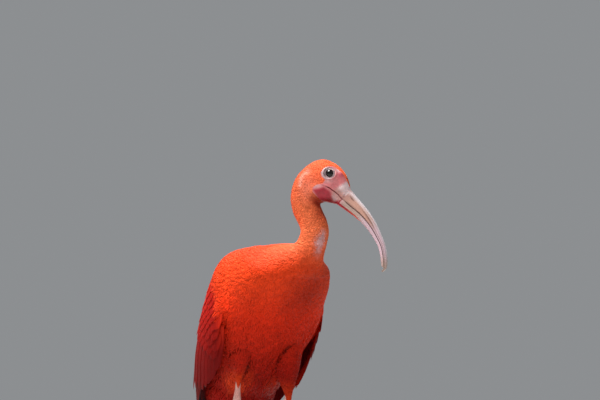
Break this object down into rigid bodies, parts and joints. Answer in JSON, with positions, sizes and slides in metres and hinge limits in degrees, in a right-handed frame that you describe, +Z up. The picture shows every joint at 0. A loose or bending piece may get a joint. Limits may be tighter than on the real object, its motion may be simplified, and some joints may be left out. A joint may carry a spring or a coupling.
{
  "type": "standing scarlet ibis",
  "caption": "Life-size still model of a scarlet wading bird, standing with its head turned to its left.",
  "frame": {"origin": "on the floor, under the middle of the part's box", "axes": "+Z up, the bird's breast faces -Y, its left side is +X"},
  "size_m": [0.1616, 0.2724, 0.3814],
  "materials": {
    "scarlet_feathers": "soft layered feathers, vivid orange red",
    "neck_feathers": "short downy feathers, orange",
    "bare_face": "bare pink and crimson skin with short orange feathers behind",
    "bill_horn": "satin horn, flesh pink with brown grooves",
    "leg_skin": "scaled pale pink skin",
    "eye": "wet, near black",
    "claw_horn": "dark horn"
  },
  "bodies": {
    "root": {"torso": "scarlet_feathers", "neck_lower": "neck_feathers", "neck_upper": "neck_feathers", "head": "bare_face", "eye_left": "eye", "eye_right": "eye", "bill_upper": "bill_horn", "bill_lower": "bill_horn", "wing_left": "scarlet_feathers", "wing_right": "scarlet_feathers", "tail": "scarlet_feathers", "thigh_left": "scarlet_feathers", "thigh_right": "scarlet_feathers", "leg_left": "leg_skin", "leg_right": "leg_skin", "foot_left": "leg_skin", "foot_right": "leg_skin", "claw_inner_left": "claw_horn", "claw_inner_right": "claw_horn", "claw_middle_left": "claw_horn", "claw_middle_right": "claw_horn", "claw_outer_left": "claw_horn", "claw_outer_right": "claw_horn", "claw_hind_left": "claw_horn", "claw_hind_right": "claw_horn"}
  },
  "joints": []
}
